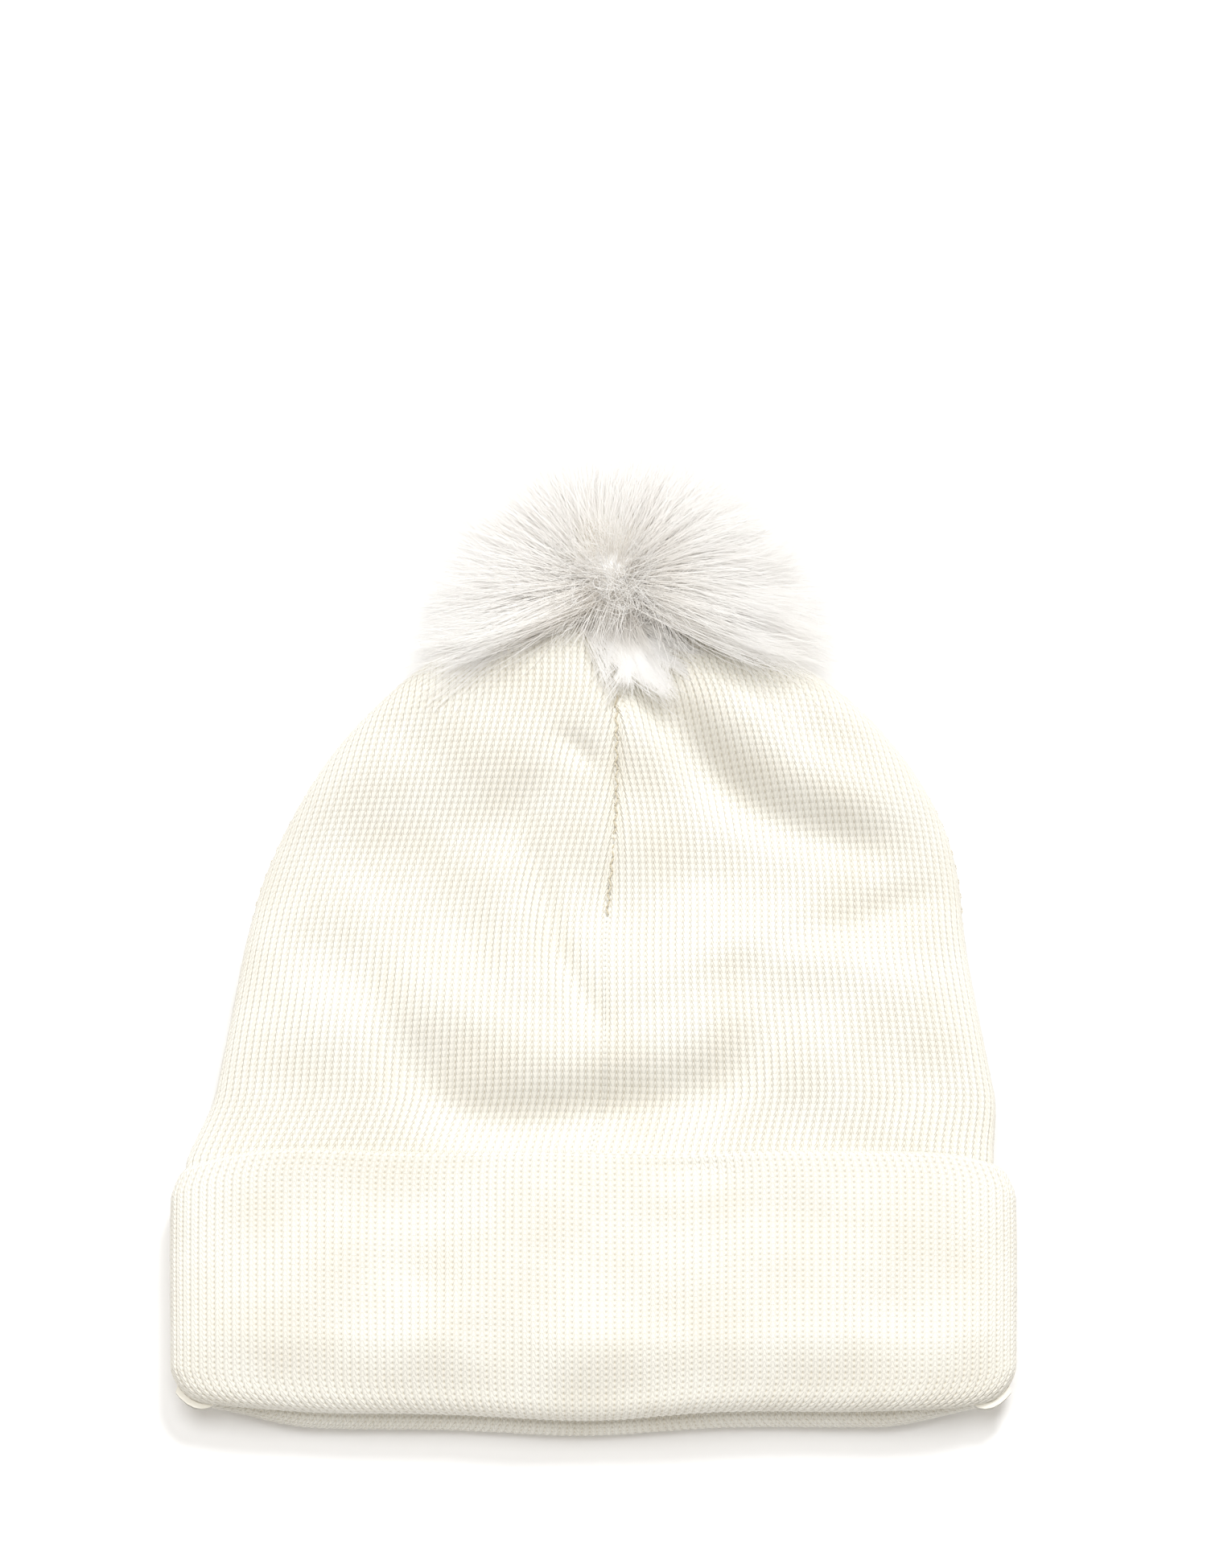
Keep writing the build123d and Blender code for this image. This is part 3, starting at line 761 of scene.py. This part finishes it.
def strandMesh(name, paths, widths):
    # every hair is a three-sided tube that tapers to a point
    count, rings = paths.shape[:2]
    along = np.gradient(paths, axis=1)
    along /= np.maximum(np.linalg.norm(along, axis=2, keepdims=True), 1e-9)
    ref = np.where(np.abs(along[..., 2:3]) < 0.9, np.array([0.0, 0.0, 1.0]), np.array([1.0, 0.0, 0.0]))
    u = np.cross(along, ref)
    u /= np.linalg.norm(u, axis=2, keepdims=True)
    w = np.cross(along, u)
    share = np.linspace(0, 1, rings)
    radius = widths[:, None] * (1 - 0.55 * share ** 1.5)[None, :] / 2
    body = []
    for k in range(3):
        a = 2 * np.pi * k / 3
        body.append(paths[:, :-1] + (np.cos(a) * u[:, :-1] + np.sin(a) * w[:, :-1]) * radius[:, :-1, None])
    body = np.stack(body, 2)                    # hair, ring, corner
    points = np.concatenate([body.reshape(count, -1, 3), paths[:, -1:]], 1)
    per = points.shape[1]
    quads, tris = [], []
    for r in range(rings - 2):
        for k in range(3):
            a, b = r * 3 + k, r * 3 + (k + 1) % 3
            quads.append((a, b, b + 3, a + 3))
    last = (rings - 2) * 3
    for k in range(3):
        tris.append((last + k, last + (k + 1) % 3, per - 1))
    tris.append((2, 1, 0))
    base = (np.arange(count) * per)[:, None, None]
    allQuads = (np.array(quads)[None] + base).reshape(-1, 4)
    allTris = (np.array(tris)[None] + base).reshape(-1, 3)
    v = np.concatenate([np.repeat(share[:-1], 3), [1.0]])
    uv = np.stack([np.repeat((np.arange(count) % 97) / 97.0, per), np.tile(v, count)], -1)
    return makeMesh(name, points, [allQuads, allTris], whiteFur, uv, flat=(0, 1))


def addLocks(name, seed, lean, turn, reach, hairs, over, pinch=0.55, combed=True):
    rng = np.random.default_rng(seed)
    root, middle, tip = hairPaths(rng, lean, turn, reach, hairs, pinch, combed)
    t = np.linspace(fur["visibleFrom"], 1, fur["rings"])[None, :, None]
    paths = (1 - t) ** 2 * root[:, None] + 2 * t * (1 - t) * middle[:, None] + t ** 2 * tip[:, None]
    paths = settleHair(paths, np.repeat(over, hairs * fur["rings"]))
    widths = fur["rootWidth"] * rng.uniform(0.7, 1.2, len(paths))
    piece = strandMesh(name, paths, widths)
    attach(piece, "pom")
    return piece


def evenLocks(count, widest, rng):
    # locks spread evenly over the part of the ball that carries fur
    k = np.arange(count) + 0.5
    lean = np.arccos(1 - k / count * (1 - math.cos(math.radians(widest))))
    turn = k * math.pi * (3 - math.sqrt(5)) + rng.normal(0, 0.12, count)
    return lean, (turn + np.pi) % (2 * np.pi) - np.pi       # 0 is straight up from the table


def addFurCore():
    # the dense underfur as one closed body, grooved along the way the fur lies
    size = {"leans": 200, "turns": 560, "groove": 0.55}
    rng = np.random.default_rng(3)
    lean = np.radians(97.0) * (np.arange(size["leans"]) + 0.5) / size["leans"]
    turn = np.linspace(-np.pi, np.pi, size["turns"], endpoint=False)
    leanGrid, turnGrid = np.meshgrid(lean, turn, indexing="ij")
    out = furDirection(leanGrid, turnGrid)
    around = np.arctan2(out[..., 0] - fur["whorl"][0], out[..., 1] - fur["whorl"][1])
    fuller = 0.12 * smooth((np.abs(around) - 1.05) / 0.8) * (np.abs(out[..., 2]) < 0.8)
    reach = fur["reach"] * fur["core"] * (1 + fuller)
    reach = reach * (1 - 0.5 * smooth((leanGrid - 0.95) / 0.75))
    groove = np.zeros(out.shape[:2])
    for _ in range(26):
        many = rng.integers(14, 120)
        slant = rng.normal(0, 5)
        groove += np.sin(around * many + leanGrid * slant + rng.uniform(0, 6.28)) * rng.uniform(0.3, 1)
    lumps = sum(np.sin(out @ rng.normal(0, 5, 3) + rng.uniform(0, 6.28)) for _ in range(7)) / 2.6
    fromWhorl = np.hypot(out[..., 0] - fur["whorl"][0], out[..., 1] - fur["whorl"][1])
    reach = reach + groove * size["groove"] / 3.6 * smooth((fromWhorl - 0.12) / 0.35) + lumps * 0.9
    points = fur["gather"] + out * reach[..., None]
    flat = settleHair(points.reshape(1, -1, 3).copy(), out[..., 2].ravel() > 0).reshape(-1, 3)
    low, high = boxOf("fur_backing")
    bottom = [(low[0] + high[0]) / 2, low[1] + 1.0, (low[2] + high[2]) / 2]
    flat = np.concatenate([flat, flat[:size["turns"]].mean(0)[None], [bottom]])
    uv = np.stack([around.ravel() * 30, reach.ravel() / fur["reach"]], -1)
    uv = np.concatenate([uv, [[0, 1], [0, 0]]])
    piece = makeMesh("fur_underfur", flat, ballFaces(size["leans"], size["turns"]), underfur, uv)
    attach(piece, "pom")
    return piece


def underfurMaterial(name, light, shade):
    # matted fur seen between the long hairs: very light, with fine streaks along the pile
    material, tree = newMaterial(name)
    uv = addNode(tree, "ShaderNodeUVMap", {"uv_map": "stitches"})
    stretch = addNode(tree, "ShaderNodeMapping", {"Scale": (6.0, 5.0, 1.0)}, {"Vector": uv.outputs[0]})
    streak = addNode(tree, "ShaderNodeTexNoise", {"Scale": 1.0, "Detail": 5.0, "Roughness": 0.7},
                     {"Vector": stretch.outputs[0]})
    place = addNode(tree, "ShaderNodeTexCoord")
    patch = addNode(tree, "ShaderNodeTexNoise", {"Scale": 60.0, "Detail": 3.0}, {"Vector": place.outputs["Object"]})
    mixed = addNode(tree, "ShaderNodeMath", {"operation": "MULTIPLY"}, {0: streak.outputs[0], 1: patch.outputs[0]})
    amount = addNode(tree, "ShaderNodeMapRange", {"From Min": 0.2, "From Max": 0.5}, {"Value": mixed.outputs[0]})
    colour = addNode(tree, "ShaderNodeMix", {"data_type": "RGBA", 6: linearColour(light), 7: linearColour(shade)},
                     {0: amount.outputs[0]})
    bump = addNode(tree, "ShaderNodeBump", {"Strength": 0.5, "Distance": 0.0006}, {"Height": streak.outputs[0]})
    shader = addNode(tree, "ShaderNodeBsdfPrincipled", {"Roughness": 0.8, "Specular IOR Level": 0.2},
                     {"Base Color": colour.outputs[2], "Normal": bump.outputs[0]})
    finishMaterial(tree, shader)
    return material


underfur = underfurMaterial("acrylic_underfur_white", "#ffffff", "#f3f0ea")


def addFur():
    rng = np.random.default_rng(5)
    core = addFurCore()
    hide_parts("fur_pile")
    lean, turn = evenLocks(fur["locks"], fur["widest"], rng)
    reach = fur["reach"] * (1 + rng.normal(0, 0.05, len(lean)))
    parts = 5
    for part in range(parts):
        pick = slice(part, None, parts)
        addLocks(f"fur_locks_{part + 1}", 40 + part, lean[pick], turn[pick], reach[pick], fur["hairs"],
                 np.cos(turn[pick]) > 0)
    # shorter hair under the long locks, out to the rim against the crown
    under = {"locks": 900, "hairs": 20, "reach": 35.0, "widest": 112.0}
    lean, turn = evenLocks(under["locks"], under["widest"], rng)
    reach = under["reach"] * (1 + 0.1 * rng.normal(0, 1, len(lean)))
    for part in range(3):
        pick = slice(part, None, 3)
        addLocks(f"fur_undercoat_{part + 1}", 70 + part, lean[pick], turn[pick], reach[pick], under["hairs"],
                 np.cos(turn[pick]) > 0, 0.3, False)
    print("fur")


addFur()

# ---- seams, label and the snap inside the pom
def plainMaterial(name, light, shade, scale, settings, bumpDepth=0.0002, stretch=(1, 1, 1)):
    # one base colour broken up by fine noise that also makes the surface uneven
    material, tree = newMaterial(name)
    place = addNode(tree, "ShaderNodeTexCoord")
    move = addNode(tree, "ShaderNodeMapping", {"Scale": stretch}, {"Vector": place.outputs["Object"]})
    fine = addNode(tree, "ShaderNodeTexNoise", {"Scale": scale, "Detail": 4.0, "Roughness": 0.65},
                   {"Vector": move.outputs[0]})
    wide = addNode(tree, "ShaderNodeTexNoise", {"Scale": scale / 12, "Detail": 2.0}, {"Vector": move.outputs[0]})
    both = addNode(tree, "ShaderNodeMath", {"operation": "MULTIPLY"}, {0: fine.outputs[0], 1: wide.outputs[0]})
    amount = addNode(tree, "ShaderNodeMapRange", {"From Min": 0.12, "From Max": 0.42}, {"Value": both.outputs[0]})
    colour = addNode(tree, "ShaderNodeMix", {"data_type": "RGBA", 6: linearColour(light), 7: linearColour(shade)},
                     {0: amount.outputs[0]})
    roughness = settings["Roughness"]
    rough = addNode(tree, "ShaderNodeMapRange", {"To Min": roughness - 0.08, "To Max": roughness + 0.1},
                    {"Value": fine.outputs[0]})
    bump = addNode(tree, "ShaderNodeBump", {"Strength": 0.5, "Distance": bumpDepth}, {"Height": fine.outputs[0]})
    rest = {key: value for key, value in settings.items() if key != "Roughness"}
    shader = addNode(tree, "ShaderNodeBsdfPrincipled", rest,
                     {"Base Color": colour.outputs[2], "Roughness": rough.outputs[0], "Normal": bump.outputs[0]})
    finishMaterial(tree, shader)
    return material


# spun polyester sewing thread: matt, a little darker than the knit so that stitches read
seamThread = plainMaterial("polyester_sewing_thread_sand", "#e2dac6", "#c8bda4", 4200.0, {"Roughness": 0.75})
# woven satin ribbon: smooth and slightly shiny, with fine cross threads
labelSatin = plainMaterial("woven_satin_white", "#f6f6f3", "#e4e3dd", 3600.0,
                           {"Roughness": 0.38, "Anisotropic": 0.5, "Sheen Weight": 0.2}, 0.00008, (1, 0.2, 1))
# pressed wool felt: very matt with short fibres
whiteFelt = plainMaterial("wool_felt_natural", "#efeae0", "#cfc7b6", 2600.0,
                          {"Roughness": 0.95, "Sheen Weight": 0.4}, 0.0004)
# nickel-plated brass: bright metal with faint tumbling marks
nickel = plainMaterial("nickel_plated_brass", "#d9d6cf", "#b9b5ad", 1500.0,
                       {"Roughness": 0.24, "Metallic": 1.0}, 0.00003)
# drawn spring steel wire: greyer and duller than the nickel, with fine drawing marks
springSteel = plainMaterial("spring_steel_wire", "#b4b4b6", "#8e8f93", 1800.0,
                            {"Roughness": 0.34, "Metallic": 1.0}, 0.00003)
# moulded nylon disc: clear-white plastic with a soft sheen
whiteNylon = plainMaterial("moulded_nylon_white", "#f1f1ee", "#dddcd6", 900.0,
                           {"Roughness": 0.42, "Specular IOR Level": 0.5}, 0.00004)
# warp-knit backing of the fur: dull white mesh cloth
backingCloth = plainMaterial("warp_knit_backing_white", "#ece9e2", "#cdc7ba", 1500.0,
                             {"Roughness": 0.92, "Sheen Weight": 0.2}, 0.0005)
# loose polyester fill: white fluff
fluff = plainMaterial("polyester_fill_white", "#f7f7f5", "#dedcd8", 500.0,
                      {"Roughness": 0.98, "Sheen Weight": 0.5}, 0.0012)


def tube(path, radius, sides):
    # a closed round cord along a path, with capped ends
    path = np.asarray(path, dtype=float)
    along = np.gradient(path, axis=0)
    along /= np.linalg.norm(along, axis=1, keepdims=True)
    ref = np.array([0.0, 0.0, 1.0]) if abs(along[:, 2]).max() < 0.9 else np.array([1.0, 0.0, 0.0])
    u = np.cross(along, ref)
    u /= np.linalg.norm(u, axis=1, keepdims=True)
    w = np.cross(u, along)
    angle = np.linspace(0, 2 * np.pi, sides, endpoint=False)
    ring = np.cos(angle)[None, :, None] * u[:, None] * radius + np.sin(angle)[None, :, None] * w[:, None] * radius
    points = path[:, None] + ring
    count = len(path)
    i, k = np.meshgrid(np.arange(count - 1), np.arange(sides), indexing="ij")
    a, b = i * sides + k, i * sides + (k + 1) % sides
    quads = np.stack([a, b, b + sides, a + sides], -1).reshape(-1, 4)
    points = np.concatenate([points.reshape(-1, 3), path[:1], path[-1:]])
    k = np.arange(sides)
    end = (count - 1) * sides
    first = np.stack([np.full(sides, count * sides), (k + 1) % sides, k], -1)
    last = np.stack([np.full(sides, count * sides + 1), end + k, end + (k + 1) % sides], -1)
    return points, quads, np.concatenate([first, last])


def threadPiece(name, paths, radius, sides=6):
    # one mesh of several short ends of thread
    points, quads, tris, start = [], [], [], 0
    for path in paths:
        a, b, c = tube(path, radius, sides)
        points.append(a)
        quads.append(b + start)
        tris.append(c + start)
        start += len(a)
    return makeMesh(name, np.concatenate(points), [np.concatenate(quads), np.concatenate(tris)], seamThread)


def stitchedSeam(name, node, line, side):
    # a row of short slanting stitches with a gap between them, made as one piece
    stitch = {"length": 1.9, "share": 0.9, "slant": 0.35, "arch": 0.28, "sunk": 0.1, "radius": 0.22}
    paths = []
    run = np.concatenate([[0], np.cumsum(np.linalg.norm(np.diff(line, axis=0), axis=1))])
    at = np.arange(0, run[-1] - stitch["length"], stitch["length"])
    for k, s0 in enumerate(at):
        s = s0 + np.linspace(0, stitch["length"] * stitch["share"], 6)
        p = np.stack([np.interp(s, run, line[:, c]) for c in range(3)], -1)
        p[:, 0] += np.linspace(-stitch["slant"], stitch["slant"], 6) * (1 if k % 2 else -1)
        arch = np.sin(np.linspace(0, np.pi, 6))
        p[:, 2] += (arch * stitch["arch"] - stitch["sunk"]) * side
        paths.append(p)
    piece = threadPiece(name, paths, stitch["radius"])
    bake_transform(piece)
    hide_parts(node)
    return piece


def seamLine(layer, place):
    # the line of one dart on the surface of its layer, from the dart's start to just under the tip
    inset = 0.0 if layer == "shell" else shape["liningInset"]
    rise = np.linspace(shape["seamTop"], hatRise - 8 - inset, 90)
    depth = np.maximum(bodyDepth(rise) - inset, 0.8)
    width = np.maximum(bodyWidth(rise) - inset, 1.5)
    sign = {"front": 1, "back": -1}.get(place, 0)
    inward = -0.55 if layer == "shell" else -2.2
    if sign:
        x = centreLine(rise)
        z = bodyMiddle(rise) + sign * (depth + inward)
        if place == "front":
            z = z + foldHeight(x, rise, folds) - 0.35
    else:
        side = -1 if place == "left" else 1
        x = centreLine(rise) + side * (width + inward)
        z = bodyMiddle(rise)
    return np.stack([x, hemY + rise, z], -1)


def addSeams():
    for layer in ("shell", "lining"):
        for place in ("front", "back", "left", "right"):
            outward = {"front": 1, "back": -1}.get(place, 0.3)
            line = seamLine(layer, place)
            stitchedSeam(f"{layer}_seam_stitches_{place}", f"{layer}_dart_seam_{place}", line, outward)
    print("seams")


def addLabel():
    # blank woven label, sewn along its lower edge to the inside of the lining
    low, high = boxOf("care_label")
    across, along = 40, 54
    u, v = np.meshgrid(np.linspace(0, 1, across), np.linspace(0, 1, along))
    x = low[0] + 0.5 + u * (high[0] - low[0] - 1)
    y = low[1] + 0.5 + v * (high[1] - low[1] - 1)
    z = (low[2] + high[2]) / 2 + 0.25 * np.sin(v * 5.0 + 0.6) * v + 0.12 * np.sin(u * 9.0) * v
    top = np.stack([x, y, z + 0.18], -1)
    bottom = np.stack([x, y, z - 0.18], -1)
    count = across * along
    ring = np.concatenate([np.arange(across), across * np.arange(1, along) + across - 1,
                           count - 2 - np.arange(across - 1), across * np.arange(along - 2, 0, -1)])
    nxt = np.roll(ring, -1)
    rim = np.stack([ring, ring + count, nxt + count, nxt], -1)
    faces = [gridFaces(along, across), gridFaces(along, across, count, True), rim]
    points = np.concatenate([top.reshape(-1, 3), bottom.reshape(-1, 3)])
    piece = makeMesh("blank_woven_label", points, faces, labelSatin, flat=(2,))
    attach(piece, "hat")
    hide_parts("care_label")
    low, high = boxOf("label_stitching")
    stitch = {"length": 2.4, "gap": 0.8, "arch": 0.25, "radius": 0.2}
    s = np.linspace(0, 1, 6)
    y, z = np.full(6, (low[1] + high[1]) / 2), low[2] + 0.05 + stitch["arch"] * np.sin(s * np.pi)
    starts = np.arange(low[0], high[0] - stitch["length"], stitch["length"] + stitch["gap"])
    paths = [np.stack([x0 + s * stitch["length"], y, z], -1) for x0 in starts]
    thread = threadPiece("label_stitches", paths, stitch["radius"])
    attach(thread, "hat")
    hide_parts("label_stitching")
    print("label")


def pleatedBall(name, node, inset, pleats, depth, material):
    # a soft ball in its node's box, drawn in with pleats towards the gathered end
    low, high = boxOf(node)
    middle, half = (low + high) / 2, (high - low) / 2 - inset
    rows, columns = 90, 220
    lean = np.pi * (np.arange(rows) + 0.5) / rows
    turn = np.linspace(0, 2 * np.pi, columns, endpoint=False)
    leanGrid, turnGrid = np.meshgrid(lean, turn, indexing="ij")
    out = furDirection(leanGrid, turnGrid)
    squareness = 2.6
    radius = (np.sum(np.abs(out) ** squareness, -1)) ** (-1 / squareness)
    towardsEnd = smooth((leanGrid - 1.3) / 1.4) * np.sin(leanGrid) ** 0.5
    fold = np.sin(turnGrid * pleats + 0.7 * np.sin(turnGrid * 3)) * towardsEnd
    points = middle + out * radius[..., None] * half * (1 - 0.02 + 0.018 * fold[..., None] * depth)
    flat = points.reshape(-1, 3)
    flat = np.concatenate([flat, flat[:columns].mean(0)[None], flat[-columns:].mean(0)[None]])
    piece = makeMesh(name, flat, ballFaces(rows, columns), material)
    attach(piece, "pom")
    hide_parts(node)
    return piece


def addPomInside():
    backing = pleatedBall("fur_backing_bag", "fur_backing", 0.3, 22, 1.0, backingCloth)
    filling = pleatedBall("pom_filling_wad", "pom_filling", 0.9, 7, 1.6, fluff)
    low, high = boxOf("gathering_thread")
    middle = (low + high) / 2
    radius = (high[0] - low[0]) / 2 - 0.6
    turn = np.linspace(0, 2 * np.pi * 0.985, 120)
    pucker = radius + 0.25 * np.sin(turn * 22)
    path = np.stack([middle[0] + np.cos(turn) * pucker, middle[1] + 0.3 * np.sin(turn * 11),
                     middle[2] + np.sin(turn) * pucker], -1)
    thread = threadPiece("gathering_thread_loop", [path], 0.5, 8)
    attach(thread, "pom")
    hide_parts("gathering_thread")
    print("inside the pom")


def dressSnap():
    finish = {"outer_felt_washer": whiteFelt, "inner_felt_washer": whiteFelt, "snap_stud": nickel,
              "stud_back_cap": nickel, "snap_spring": springSteel, "snap_socket": nickel, "socket_cap": nickel,
              "pom_base_disc": whiteNylon}
    for node, material in finish.items():
        mesh = frame["nodes"][node].data
        mesh.materials.clear()
        mesh.materials.append(material)
    print("snap fastener")


addSeams()
addLabel()
addPomInside()
dressSnap()
